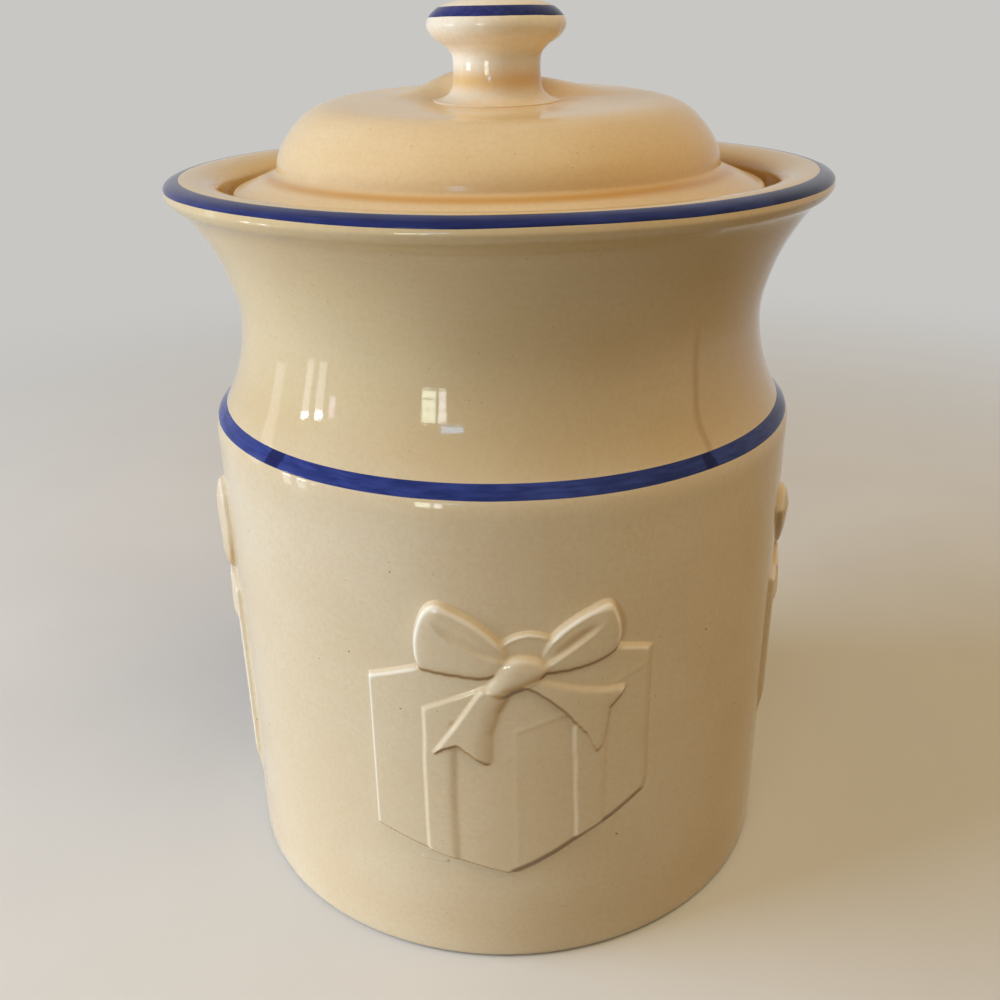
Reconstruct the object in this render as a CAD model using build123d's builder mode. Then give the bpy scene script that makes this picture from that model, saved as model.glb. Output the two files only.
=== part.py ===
from build123d import *
import os

os.makedirs("parts", exist_ok=True)

# A lidded biscuit jar in glazed stoneware: a straight-sided jar with a drawn-in neck and a flared
# lip, a domed lid that drops on to a ledge inside the mouth, a round knob, painted bands of glaze
# and four moulded presents applied round the wall.
# Millimetres, +Z up. The origin is the middle of the foot, on the surface that the jar stands on,
# and the front is towards -Y. Sections are drawn as (radius, height).

# ---- Jar, outside ----
wall_radius = 82.5  # outside of the straight wall
wall_height = 131.0  # where the wall starts to turn in
shoulder_rise = 8.3  # from there to the lower edge of the shoulder band
shoulder_turn = 0.5  # how far the wall has turned in at that edge
shoulder_band_rise = 4.1  # from the lower edge of the band to its upper edge
shoulder_band_turn = 3.2
neck_rise = 23.4  # from the band to the narrowest place
neck_tuck = 9.9  # how much narrower the neck is than the wall
lip_rise = 34.5  # from the narrowest place to the widest place of the lip
lip_flare = 15.8  # how much wider the lip is than the neck
lip_roll = 3.0  # height of the rounded underside of the lip
lip_tuck = 1.6  # how far that underside lies inside the widest place
rim_band_rise = 2.3  # from the lower edge of the rim band to its upper edge
rim_band_width = 4.5

# ---- Jar, inside and underneath ----
wall = 7.0  # thickness of the wall
floor = 6.5  # thickness of the floor
inside_round = 12.0  # radius between the floor and the wall inside
rim_width = 14.1  # from the widest place of the lip in to the wall of the mouth
mouth_drop = 2.0  # how far below the widest place the wall of the mouth starts
ledge_drop = 6.4  # how far below the widest place the lid's ledge lies
ledge_width = 8.3
foot_recess = 2.5  # how far the underside is raised inside the foot ring
foot_width = 12.5  # width of the ring that the jar stands on
foot_round = 2.0

# ---- Lid ----
lid_gap = 3.0  # clearance round the lid's flange
ring_gap = 1.4  # clearance round the ring that centres the lid
ring_depth = 7.0
ring_wall = 5.0
flange_thickness = 4.5
flange_round = 1.2
flange_width = 12.5  # from the edge of the flange in to the dome
flange_rise = 4.0  # how far the flange climbs from its edge to the dome
dome_fillet = 2.0
dome_rise = 16.9  # from the flange to the edge of the crown
dome_round = 17.8  # how far the dome's shoulder reaches in
crown_rise = 0.3  # from the edge of the crown to the knob's seat
lid_wall = 5.5

# ---- Knob ----
knob_foot_radius = 17.1
knob_foot_height = 0.7
knob_seat_margin = 0.6  # the flat seat is this much wider than the knob's foot
knob_neck_radius = 11.5
knob_neck_rise = 8.9  # from the seat to the narrowest place
knob_radius = 18.3
knob_rise = 8.8  # from the narrowest place to the widest
knob_band_lift = 1.6  # from the widest place up to the lower edge of the knob's band
knob_band_turn = 0.6
knob_band_rise = 2.6
knob_band_width = 3.0
knob_crown = 2.2  # how far the top stands above the band
knob_crown_slope = 0.5  # how steeply the top starts from the band

# ---- Glaze and presents ----
glaze = 0.5  # depth of a painted band
zone_reach = 4.0  # how far the strip that cuts a band out reaches past the surface
box_stands = 1.3  # how far each layer of a present stands out of the wall
ribbon_stands = 1.8
tail_stands = 2.2
loop_stands = 2.6
knot_stands = 3.3
box_corner = 1.0

# ---- Worked out from these ----
floor_top = foot_recess + floor
wall_top = (wall_radius, wall_height)
shoulder_low = (wall_radius - shoulder_turn, wall_height + shoulder_rise)
shoulder_high = (shoulder_low[0] - shoulder_band_turn, shoulder_low[1] + shoulder_band_rise)
neck = (wall_radius - neck_tuck, shoulder_high[1] + neck_rise)
lip = (neck[0] + lip_flare, neck[1] + lip_rise)
lip_under = (lip[0] - lip_tuck, lip[1] - lip_roll)
rim_high = (lip[0] - rim_band_width, lip[1] + rim_band_rise)
mouth_edge = (lip[0] - rim_width, lip[1] - mouth_drop)
ledge_height = lip[1] - ledge_drop
seat_radius = mouth_edge[0] - ledge_width

flange_radius = mouth_edge[0] - lid_gap
ring_radius = seat_radius - ring_gap
dome_radius = flange_radius - flange_width
flange_top = ledge_height + flange_thickness
flange_edge = (flange_radius - flange_round, flange_top)
junction = (dome_radius + dome_fillet, flange_top + flange_rise)
dome_foot = (dome_radius, junction[1] + dome_fillet)
crown_edge = (dome_radius - dome_round, junction[1] + dome_rise)
knob_seat = (knob_foot_radius + knob_seat_margin, crown_edge[1] + crown_rise)
crown_slope = (knob_seat[0] - crown_edge[0], crown_rise)

knob_neck = (knob_neck_radius, knob_seat[1] + knob_neck_rise)
knob_wide = (knob_radius, knob_neck[1] + knob_rise)
knob_low = (knob_radius - knob_band_turn, knob_wide[1] + knob_band_lift)
knob_high = (knob_low[0] - knob_band_width, knob_low[1] + knob_band_rise)
knob_top = (0, knob_high[1] + knob_crown)
knob_turn = (-2 * knob_band_turn, knob_band_lift)  # the way the surface runs at each edge of the band
knob_slope = (-1, knob_crown_slope)

wall_middle = wall_height / 2


def part_way(start, end, across, up):
    """The point that lies a share of the way across and a share of the way up between two others."""
    return (start[0] + across * (end[0] - start[0]), start[1] + up * (end[1] - start[1]))


def band_zone(low, high, outward):
    """A strip over the stretch of a section from low to high: glaze deep, and open outwards."""
    across, up = outward
    with BuildSketch() as zone:
        with BuildLine():
            Polyline(
                (low[0] - glaze * across, low[1] - glaze * up),
                (low[0] + zone_reach * across, low[1] + zone_reach * up),
                (high[0] + zone_reach * across, high[1] + zone_reach * up),
                (high[0] - glaze * across, high[1] - glaze * up),
                close=True,
            )
        make_face()
    return zone.sketch


# ---- Sections ----
# The jar's wall rises straight, turns in at the shoulder, is drawn in to the neck and flares to the
# lip. The mouth slopes in to a ledge for the lid.
with BuildSketch() as jar_section:
    with BuildLine():
        foot_inside = wall_radius - foot_round - foot_width
        Polyline(
            (0, floor_top),
            (0, foot_recess),
            (foot_inside - foot_recess, foot_recess),
            (foot_inside, 0),
            (wall_radius - foot_round, 0),
        )
        JernArc((wall_radius - foot_round, 0), (1, 0), foot_round, 90)
        Line((wall_radius, foot_round), wall_top)
        Spline(
            wall_top,
            shoulder_low,
            shoulder_high,
            part_way(shoulder_high, neck, 0.70, 0.46),
            neck,
            tangents=[(0, 1), (0, 1)],
        )
        Spline(
            neck,
            part_way(neck, lip_under, 0.21, 0.44),
            part_way(neck, lip_under, 0.58, 0.78),
            lip_under,
            tangents=[(0, 1), (1, 1)],
        )
        Spline(lip_under, lip, tangents=[(1, 1), (0, 1)])
        Spline(lip, rim_high, tangents=[(0, 1), (-1, 0.15)])
        Spline(rim_high, mouth_edge, tangents=[(-1, 0.15), (0, -1)])
        inside_neck = (neck[0] - wall, neck[1])
        inside_wall = (wall_radius - wall, wall_height - mouth_drop)
        Polyline(mouth_edge, (mouth_edge[0], ledge_height), (seat_radius, ledge_height), inside_neck)
        Spline(inside_neck, inside_wall, tangents=[(0, -1), (0, -1)])
        Line(inside_wall, (inside_wall[0], floor_top + inside_round))
        JernArc((inside_wall[0], floor_top + inside_round), (0, -1), inside_round, -90)
        Line((inside_wall[0] - inside_round, floor_top), (0, floor_top))
    make_face()

shoulder_zone = band_zone(shoulder_low, shoulder_high, (0.85, 0.53))
rim_zone = band_zone(lip, rim_high, (0.53, 0.85))

# The lid's flange lies on the ledge, a ring under it keeps the lid central, and the dome rises
# steeply to a rounded shoulder and then gently to the knob.
with BuildSketch() as lid_section:
    with BuildLine():
        Polyline((0, knob_seat[1] - lid_wall), (0, knob_seat[1]), knob_seat, crown_edge)
        Spline(
            crown_edge,
            part_way(crown_edge, dome_foot, 0.48, 0.12),
            part_way(crown_edge, dome_foot, 0.84, 0.52),
            dome_foot,
            tangents=[(-crown_slope[0], -crown_slope[1]), (0, -1)],
        )
        Spline(
            dome_foot,
            junction,
            tangents=[(0, -1), (flange_edge[0] - junction[0], flange_edge[1] - junction[1])],
        )
        Line(junction, flange_edge)
        JernArc(flange_edge, (1, 0), flange_round, -90)
        ring_inside = ring_radius - ring_wall
        dome_inside = (dome_radius - lid_wall, junction[1])
        crown_inside = (crown_edge[0] - lid_wall / 4, crown_edge[1] - lid_wall)
        Polyline(
            (flange_radius, flange_top - flange_round),
            (flange_radius, ledge_height),
            (ring_radius, ledge_height),
            (ring_radius, ledge_height - ring_depth),
            (ring_inside, ledge_height - ring_depth),
            dome_inside,
        )
        Spline(
            dome_inside,
            part_way(dome_inside, crown_inside, 0.20, 0.52),
            part_way(dome_inside, crown_inside, 0.56, 0.88),
            crown_inside,
            tangents=[(0, 1), crown_slope],
        )
        Line(crown_inside, (0, knob_seat[1] - lid_wall))
    make_face()

# The knob is a flattened ball on a waisted stem with a thin foot.
with BuildSketch() as knob_section:
    with BuildLine():
        foot_top = knob_seat[1] + knob_foot_height
        Polyline((0, knob_top[1]), (0, knob_seat[1]), (knob_foot_radius, knob_seat[1]))
        Line((knob_foot_radius, knob_seat[1]), (knob_foot_radius, foot_top))
        Spline(
            (knob_foot_radius, foot_top),
            part_way((knob_foot_radius, foot_top), knob_neck, 0.72, 0.27),
            knob_neck,
            tangents=[(-1, 0.1), (0, 1)],
        )
        Spline(
            knob_neck,
            part_way(knob_neck, knob_wide, 0.33, 0.46),
            knob_wide,
            tangents=[(0, 1), (0, 1)],
        )
        Spline(knob_wide, knob_low, tangents=[(0, 1), knob_turn])
        Spline(knob_low, knob_high, tangents=[knob_turn, knob_slope])
        Spline(knob_high, knob_top, tangents=[knob_slope, (-1, 0)])
    make_face()

knob_zone = band_zone(knob_low, knob_high, (0.62, 0.78))

# ---- Turned pieces ----
with BuildPart() as jar_body:
    with BuildSketch(Plane.XZ):
        add(jar_section.sketch)
        add(shoulder_zone, mode=Mode.SUBTRACT)
        add(rim_zone, mode=Mode.SUBTRACT)
    revolve(axis=Axis.Z)

with BuildPart() as shoulder_band:
    with BuildSketch(Plane.XZ):
        add(jar_section.sketch)
        add(shoulder_zone, mode=Mode.INTERSECT)
    revolve(axis=Axis.Z)

with BuildPart() as rim_band:
    with BuildSketch(Plane.XZ):
        add(jar_section.sketch)
        add(rim_zone, mode=Mode.INTERSECT)
    revolve(axis=Axis.Z)

with BuildPart() as lid:
    with BuildSketch(Plane.XZ):
        add(lid_section.sketch)
    revolve(axis=Axis.Z)

with BuildPart() as lid_knob:
    with BuildSketch(Plane.XZ):
        add(knob_section.sketch)
        add(knob_zone, mode=Mode.SUBTRACT)
    revolve(axis=Axis.Z)

with BuildPart() as knob_band:
    with BuildSketch(Plane.XZ):
        add(knob_section.sketch)
        add(knob_zone, mode=Mode.INTERSECT)
    revolve(axis=Axis.Z)


# ---- Presents ----
# A present is drawn flat, as (across, above the middle of the wall), and carried on to the wall.
def angular(*points):
    """An outline with slightly rounded corners."""
    with BuildSketch() as outline:
        with BuildLine():
            Polyline(*[(across, wall_middle + up) for across, up in points], close=True)
        make_face()
        fillet(outline.vertices(), box_corner)
    return outline.sketch


def rounded(*points):
    """An outline that runs smoothly through its points."""
    with BuildSketch() as outline:
        with BuildLine():
            Spline(*[(across, wall_middle + up) for across, up in points], periodic=True)
        make_face()
    return outline.sketch


def raised(outline, stands):
    """One layer of a present: the outline on the wall, standing out of it by a given height."""
    with BuildPart() as layer:
        with BuildSketch(Plane.XZ):
            add(outline)
        extrude(amount=wall_radius + stands)
        with BuildSketch(Plane.XY):
            Circle(wall_radius + stands)
            Circle(wall_radius, mode=Mode.SUBTRACT)
        extrude(amount=shoulder_low[1], mode=Mode.INTERSECT)
    return layer.part


def standing_present(bottom, box_top, bow_top, half_width, ribbon):
    """The layers of a present seen square on, with one ribbon down its middle and a bow on top."""
    bow = bow_top - box_top
    loop = [(0.08, 0.10), (0.30, 0.72), (0.66, 0.97), (0.86, 0.72), (0.80, 0.10), (0.42, -0.06)]
    tail = [(0.05, 0.10), (0.50, -0.55), (0.62, -0.28), (0.90, -0.32), (0.40, 0.12)]
    layers = [
        raised(
            angular(
                (-half_width, bottom), (half_width, bottom), (half_width, box_top), (-half_width, box_top)
            ),
            box_stands,
        ),
        raised(
            angular((-ribbon, bottom), (ribbon, bottom), (ribbon, box_top), (-ribbon, box_top)),
            ribbon_stands,
        ),
    ]
    for side in (-1, 1):
        loop_points = [(side * half_width * across, box_top + bow * up) for across, up in loop]
        tail_points = [(side * half_width * across, box_top + bow * up) for across, up in tail]
        layers.append(raised(angular(*tail_points), tail_stands))
        layers.append(raised(rounded(*loop_points), loop_stands))
    knot = [(-ribbon, -0.02), (0, -0.12), (ribbon, -0.02), (ribbon, 0.38), (0, 0.52), (-ribbon, 0.38)]
    knot_points = [(across, box_top + bow * up) for across, up in knot]
    layers.append(raised(rounded(*knot_points), knot_stands))
    return layers


def corner_present(half_width, half_height):
    """The layers of a present seen from one corner: a box with a ribbon down each of two sides, two
    tails, two loops and a knot. The points are shares of its half width and half height."""

    def sized(*shares):
        return [(half_width * across, half_height * up) for across, up in shares]

    box = sized(
        (-0.96, -0.56),
        (-0.02, -0.84),
        (1.03, -0.30),
        (1.01, 0.79),
        (0.73, 0.86),
        (-0.59, 0.76),
        (-0.96, 0.62),
    )
    ribbons = [
        sized((-0.57, -0.65), (-0.35, -0.72), (-0.36, 0.48), (-0.08, 0.58), (-0.14, 0.68), (-0.56, 0.49)),
        sized((0.47, -0.60), (0.68, -0.48), (0.67, 0.45), (0.25, 0.70), (0.14, 0.61), (0.45, 0.38)),
    ]
    tails = [
        sized((-0.14, 0.66), (-0.51, 0.13), (-0.36, 0.21), (-0.14, 0.06), (-0.07, 0.35), (0.06, 0.64)),
        sized((0.17, 0.64), (0.48, 0.35), (0.66, 0.04), (0.69, 0.42), (0.82, 0.56), (0.27, 0.70)),
    ]
    loops = [
        sized((-0.05, 0.93), (-0.24, 1.11), (-0.42, 1.19), (-0.57, 1.08), (-0.59, 0.79), (-0.09, 0.73)),
        sized((0.24, 0.85), (0.45, 1.07), (0.65, 1.17), (0.76, 1.03), (0.69, 0.80), (0.27, 0.73)),
    ]
    behind_knot = sized((-0.08, 0.85), (-0.05, 0.96), (0.11, 1.01), (0.30, 0.96), (0.26, 0.83))
    knot = sized((-0.06, 0.76), (0.09, 0.85), (0.27, 0.77), (0.23, 0.67), (0.07, 0.64))
    return [
        raised(angular(*box), box_stands),
        *[raised(angular(*ribbon), ribbon_stands) for ribbon in ribbons],
        *[raised(angular(*tail), tail_stands) for tail in tails],
        *[raised(rounded(*loop), loop_stands) for loop in loops],
        raised(rounded(*behind_knot), ribbon_stands),
        raised(rounded(*knot), knot_stands),
    ]


front_present = corner_present(half_width=36.0, half_height=40.0)
left_present = standing_present(bottom=-40.5, box_top=25.0, bow_top=57.0, half_width=30.0, ribbon=5.0)
right_present = standing_present(bottom=-23.5, box_top=24.0, bow_top=51.5, half_width=32.0, ribbon=5.0)

with BuildPart() as gift_relief_front:
    for layer in front_present:
        add(layer)

with BuildPart() as gift_relief_back:
    for layer in front_present:
        add(layer, rotation=(0, 0, 180))

with BuildPart() as gift_relief_left:
    for layer in left_present:
        add(layer, rotation=(0, 0, -90))

with BuildPart() as gift_relief_right:
    for layer in right_present:
        add(layer, rotation=(0, 0, 90))

pieces = {
    "jar_body": jar_body,
    "shoulder_band": shoulder_band,
    "rim_band": rim_band,
    "gift_relief_front": gift_relief_front,
    "gift_relief_back": gift_relief_back,
    "gift_relief_left": gift_relief_left,
    "gift_relief_right": gift_relief_right,
    "lid": lid,
    "lid_knob": lid_knob,
    "knob_band": knob_band,
}
for name, piece in pieces.items():
    piece.part.label = name
    export_step(piece.part, f"parts/{name}.step")
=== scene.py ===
"""The looks of a lidded biscuit jar in glazed stoneware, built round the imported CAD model.

Sections and outlines are in millimetres, in the frame of the CAD model: +Z up, the front towards -Y.
"""

import math

import bmesh
import bpy
import numpy as np
from mathutils import Euler, Matrix, Vector, noise
from mathutils.geometry import interpolate_bezier


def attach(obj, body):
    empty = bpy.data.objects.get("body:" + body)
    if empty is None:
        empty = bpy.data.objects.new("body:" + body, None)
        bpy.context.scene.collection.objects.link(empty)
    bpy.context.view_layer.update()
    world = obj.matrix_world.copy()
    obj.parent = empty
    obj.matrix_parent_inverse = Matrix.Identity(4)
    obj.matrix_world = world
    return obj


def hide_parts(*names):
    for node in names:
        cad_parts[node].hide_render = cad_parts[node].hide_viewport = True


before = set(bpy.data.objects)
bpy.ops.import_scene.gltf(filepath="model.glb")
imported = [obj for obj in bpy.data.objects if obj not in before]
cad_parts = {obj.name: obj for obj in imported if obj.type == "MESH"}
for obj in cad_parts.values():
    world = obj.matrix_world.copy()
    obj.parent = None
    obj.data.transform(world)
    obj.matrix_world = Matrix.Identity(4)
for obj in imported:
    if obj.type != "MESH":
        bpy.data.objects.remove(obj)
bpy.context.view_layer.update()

MM = 0.001
WALL_TURNS = 288  # steps round a turned piece
KNOB_TURNS = 144

# ---- Jar, in mm: points of its section are (radius, height) ----
WALL_RADIUS = 82.5
WALL_TOP = (WALL_RADIUS, 131.0)
WALL_MIDDLE = WALL_TOP[1] / 2
SHOULDER_LOW = (82.0, 139.3)
SHOULDER_HIGH = (78.8, 143.4)
NECK = (72.6, 166.8)
LIP_UNDER = (86.7, 197.9)
LIP_WIDE = (88.4, 200.0)
RIM_LOW = (88.3, 201.3)
RIM_HIGH = (83.9, 203.6)
MOUTH_EDGE = (74.3, 199.3)
LEDGE = 194.9  # height of the ledge that the lid lies on
SEAT_RADIUS = 66.0
WALL = 7.0
FLOOR_TOP = 9.0
INSIDE_ROUND = 12.0
FOOT_RECESS = 2.5
FOOT_WIDTH = 12.5
FOOT_ROUND = 2.0

# ---- Lid ----
FLANGE_RADIUS = 71.3
FLANGE_TOP = 199.4
FLANGE_ROUND = 1.2
RING_RADIUS = 64.6
RING_WALL = 5.0
RING_DEPTH = 7.0
RING_ROUND = 1.0
DOME_RADIUS = 59.4
DOME_FILLET = 1.1
JUNCTION = 203.4  # height at which the flange meets the dome
CROWN_EDGE = (41.0, 220.3)
SEAT = 220.6  # height of the knob's seat
SEAT_MARGIN = 0.6
LID_WALL = 5.5

# ---- Knob ----
KNOB_FOOT = (17.1, 221.1)
KNOB_FOOT_ROUND = 0.30
KNOB_FOOT_SUNK = 0.25  # the glaze runs from the foot on to the crown
KNOB_FLARE = [(13.5, 222.0), (12.2, 223.5), (11.7, 226.0)]
KNOB_NECK = (11.6, 229.0)
KNOB_SWELL = [(12.0, 231.3), (13.6, 233.1), (15.9, 234.6), (17.6, 236.3)]
KNOB_WIDE = (18.3, 238.3)
KNOB_LOW = (17.7, 239.9)
KNOB_HIGH = (14.7, 242.5)
KNOB_TOP = 244.7

# ---- Finish ----
SKIN = 0.06  # the turned pieces stop this far inside their CAD size, so that the bands stand proud
UNEVEN = 0.20  # most that a hand-turned surface falls short of a true circle
UNEVEN_ROUND = 0.9  # how much that changes round the pot
UNEVEN_UP = 0.012  # and for each mm up it
KNOB_UNEVEN = 0.05
BAND_STANDS = 0.05  # how far a band of thick glaze stands out of the surface
BAND_DIVES = 0.10  # how far its edges dip under the surface
BAND_BLUNT = 14  # how steeply it rises from its edges
BAND_DEPTH = 0.4
BAND_REACH = 0.2  # a brushed band runs this far over its edges
BAND_WANDER = 0.10  # how far a brushed edge strays
CROWN_LEAN = 0.05  # slope of the crown, which sank towards the front in firing
CROWN_SUNK = 0.7  # how far it also sank round the knob
HEEL = 6.0  # height of the clay that was smeared up behind the knob
HEEL_REACH = (38.0, 15.0)  # it starts at the first radius and is full at the second
HEEL_ASIDE = 5.0  # it starts this much further out on the right, and nearer on the left
HEEL_BEHIND = (0.05, 0.8)  # it grows between these shares of the way from the side to the back
HEEL_FULL = 0.92  # right behind the knob it reaches this share of its height
HEEL_FALL = 0.25  # and it is lower on the right by about this share


# ---------------------------------------------------------------- sections
def flow(points, leave, arrive, step=1.2):
    """Points along a smooth line through the given ones, with set directions at its two ends."""
    knots = [Vector((r, z, 0)) for r, z in points]
    ways = [Vector((*leave, 0)).normalized()]
    ways += [(after - before).normalized() for before, after in zip(knots, knots[2:])]
    ways.append(Vector((*arrive, 0)).normalized())
    line = [knots[0]]
    for a, b, way_a, way_b in zip(knots, knots[1:], ways, ways[1:]):
        reach = (b - a).length / 3
        count = max(3, round((b - a).length / step))
        line += interpolate_bezier(a, a + way_a * reach, b - way_b * reach, b, count + 1)[1:]
    return [(p.x, p.y) for p in line]


def straight(start, end, step=3.0):
    """Evenly spaced points from one place to another."""
    count = max(1, round(math.dist(start, end) / step))
    return [part_way(start, end, i / count, i / count) for i in range(count + 1)]


def part_way(start, end, across, up):
    """The point that lies a share of the way across and a share of the way up between two others."""
    return (start[0] + across * (end[0] - start[0]), start[1] + up * (end[1] - start[1]))


def quarter(middle, radius, start, end, steps=6):
    """An arc of a circle, between two angles in degrees."""
    angles = [math.radians(start + (end - start) * i / steps) for i in range(steps + 1)]
    return [(middle[0] + radius * math.cos(a), middle[1] + radius * math.sin(a)) for a in angles]


def joined(*stretches):
    """One line from several, without the points that two of them share."""
    line = []
    for stretch in stretches:
        for point in stretch:
            if not line or math.dist(point, line[-1]) > 1e-4:
                line.append(point)
    return line


def shoulder_line():
    """From the top of the wall in to the narrowest place of the neck."""
    bend = part_way(SHOULDER_HIGH, NECK, 0.70, 0.46)
    return flow([WALL_TOP, SHOULDER_LOW, SHOULDER_HIGH, bend, NECK], (0, 1), (0, 1), 0.9)


def shoulder_band_line():
    low, high = SHOULDER_LOW[1] - 1e-6, SHOULDER_HIGH[1] + 1e-6
    return [point for point in shoulder_line() if low <= point[1] <= high]


def lip_line():
    """From the neck out to the lower edge of the rim's band, over the rounded edge of the lip."""
    flare = [NECK, part_way(NECK, LIP_UNDER, 0.21, 0.44), part_way(NECK, LIP_UNDER, 0.58, 0.78), LIP_UNDER]
    edge = flow([LIP_UNDER, LIP_WIDE, RIM_LOW], (1, 0.55), (-0.12, 1), 0.3)
    return joined(flow(flare, (0, 1), (1, 0.55)), edge)


def rim_band_line():
    return flow([RIM_LOW, RIM_HIGH], (-0.12, 1), (-1, 0.15), 0.5)


def jar_section():
    foot_inside = WALL_RADIUS - FOOT_ROUND - FOOT_WIDTH
    recess = (foot_inside - FOOT_RECESS, FOOT_RECESS)
    inside = WALL_RADIUS - WALL
    inside_low = FLOOR_TOP + INSIDE_ROUND
    inside_high = (inside, WALL_TOP[1] - 2)
    inside_neck = (NECK[0] - WALL, NECK[1])
    ledge_outside = (MOUTH_EDGE[0], LEDGE)
    return joined(
        straight((0, FOOT_RECESS), recess, 6),
        flow([recess, (foot_inside, 0)], (1, -0.2), (1, -0.2), 0.8),
        straight((foot_inside, 0), (WALL_RADIUS - FOOT_ROUND, 0)),
        quarter((WALL_RADIUS - FOOT_ROUND, FOOT_ROUND), FOOT_ROUND, -90, 0),
        straight((WALL_RADIUS, FOOT_ROUND), WALL_TOP, 2.5),
        shoulder_line(),
        lip_line(),
        rim_band_line(),
        flow([RIM_HIGH, MOUTH_EDGE], (-1, 0.15), (0, -1), 0.8),
        straight(MOUTH_EDGE, ledge_outside, 1.5),
        straight(ledge_outside, (SEAT_RADIUS, LEDGE), 2),
        straight((SEAT_RADIUS, LEDGE), inside_neck),
        flow([inside_neck, inside_high], (0, -1), (0, -1), 2),
        straight(inside_high, (inside, inside_low), 5),
        quarter((inside - INSIDE_ROUND, inside_low), INSIDE_ROUND, 0, -90, 10),
        straight((inside - INSIDE_ROUND, FLOOR_TOP), (0, FLOOR_TOP), 6),
    )


def lid_section():
    dome_foot = (DOME_RADIUS, JUNCTION + DOME_FILLET)
    junction = (DOME_RADIUS + DOME_FILLET, JUNCTION)
    flange_edge = (FLANGE_RADIUS - FLANGE_ROUND, FLANGE_TOP)
    flange_fall = (flange_edge[0] - junction[0], FLANGE_TOP - JUNCTION)
    seat = (KNOB_FOOT[0] + SEAT_MARGIN, SEAT)
    crown = (seat[0] - CROWN_EDGE[0], SEAT - CROWN_EDGE[1])
    dome = [
        CROWN_EDGE,
        part_way(CROWN_EDGE, dome_foot, 0.48, 0.12),
        part_way(CROWN_EDGE, dome_foot, 0.84, 0.52),
        dome_foot,
    ]
    ring_low = LEDGE - RING_DEPTH + RING_ROUND
    ring_inside = RING_RADIUS - RING_WALL
    dome_inside = (DOME_RADIUS - LID_WALL, JUNCTION)
    crown_inside = (CROWN_EDGE[0] - LID_WALL / 4, CROWN_EDGE[1] - LID_WALL)
    hollow = [
        dome_inside,
        part_way(dome_inside, crown_inside, 0.20, 0.52),
        part_way(dome_inside, crown_inside, 0.56, 0.88),
        crown_inside,
    ]
    return joined(
        straight((0, SEAT), seat, 2),
        straight(seat, CROWN_EDGE, 2),
        flow(dome, (-crown[0], -crown[1]), (0.04, -1), 0.9),
        flow([dome_foot, junction], (0.04, -1), flange_fall, 0.25),
        straight(junction, flange_edge, 1.2),
        quarter((flange_edge[0], FLANGE_TOP - FLANGE_ROUND), FLANGE_ROUND, 90, 0),
        straight((FLANGE_RADIUS, FLANGE_TOP - FLANGE_ROUND), (FLANGE_RADIUS, LEDGE), 1.5),
        straight((FLANGE_RADIUS, LEDGE), (RING_RADIUS, LEDGE), 2),
        straight((RING_RADIUS, LEDGE), (RING_RADIUS, ring_low), 2),
        quarter((RING_RADIUS - RING_ROUND, ring_low), RING_ROUND, 0, -90, 4),
        quarter((ring_inside + RING_ROUND, ring_low), RING_ROUND, -90, -180, 4),
        straight((ring_inside, ring_low), dome_inside, 2),
        flow(hollow, (0, 1), crown, 1.5),
        straight(crown_inside, (0, SEAT - LID_WALL), 4),
    )


KNOB_LOW_WAY = (KNOB_LOW[0] - KNOB_WIDE[0], (KNOB_LOW[1] - KNOB_WIDE[1]) / 2)
KNOB_HIGH_WAY = (-1, 0.5)


def knob_band_line():
    return flow([KNOB_LOW, KNOB_HIGH], KNOB_LOW_WAY, KNOB_HIGH_WAY, 0.3)


def knob_section():
    low = SEAT - KNOB_FOOT_SUNK
    foot_round = (KNOB_FOOT[0] - KNOB_FOOT_ROUND, low + KNOB_FOOT_ROUND)
    foot_edge = (foot_round[0], low + 2 * KNOB_FOOT_ROUND)
    return joined(
        straight((0, low), (foot_round[0], low), 3),
        quarter(foot_round, KNOB_FOOT_ROUND, -90, 90),
        flow([foot_edge, *KNOB_FLARE, KNOB_NECK], (-1, 0.05), (0, 1), 0.5),
        flow([KNOB_NECK, *KNOB_SWELL, KNOB_WIDE], (0, 1), (0, 1), 0.5),
        flow([KNOB_WIDE, KNOB_LOW], (0, 1), KNOB_LOW_WAY, 0.4),
        knob_band_line(),
        flow([KNOB_HIGH, (0, KNOB_TOP)], KNOB_HIGH_WAY, (-1, 0), 0.7),
    )


# ---------------------------------------------------------------- turning
def short_of_round(x, y, z, uneven=UNEVEN):
    """How far a hand-turned surface falls short of a true circle, in mm."""
    angle = math.atan2(y, x)
    at = Vector((math.cos(angle) * UNEVEN_ROUND, math.sin(angle) * UNEVEN_ROUND, z * UNEVEN_UP))
    return SKIN + uneven * (0.5 + 0.5 * noise.noise(at))


def spun(line, turns, closed, uneven=UNEVEN):
    """A section spun once round Z, in the slightly uneven round of a hand-turned pot."""
    bm = bmesh.new()
    points = [bm.verts.new((r * MM, 0, z * MM)) for r, z in line]
    ends = points[1:] + points[:1] if closed else points[1:]
    edges = [bm.edges.new(pair) for pair in zip(points, ends)]
    bmesh.ops.spin(
        bm, geom=points + edges, cent=(0, 0, 0), axis=(0, 0, 1), angle=math.tau, steps=turns, use_merge=True
    )
    bmesh.ops.remove_doubles(bm, verts=bm.verts, dist=1e-6)
    bmesh.ops.recalc_face_normals(bm, faces=bm.faces)
    for v in bm.verts:
        x, y, z = v.co / MM
        radius = math.hypot(x, y)
        if radius > 1:
            share = short_of_round(x, y, z, uneven) / radius
            v.co.x -= v.co.x * share
            v.co.y -= v.co.y * share
    return bm


def beyond(end, before):
    """The end of a brushed line, moved on along it."""
    share = BAND_REACH / math.dist(end, before)
    return part_way(before, end, 1 + share, 1 + share)


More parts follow.
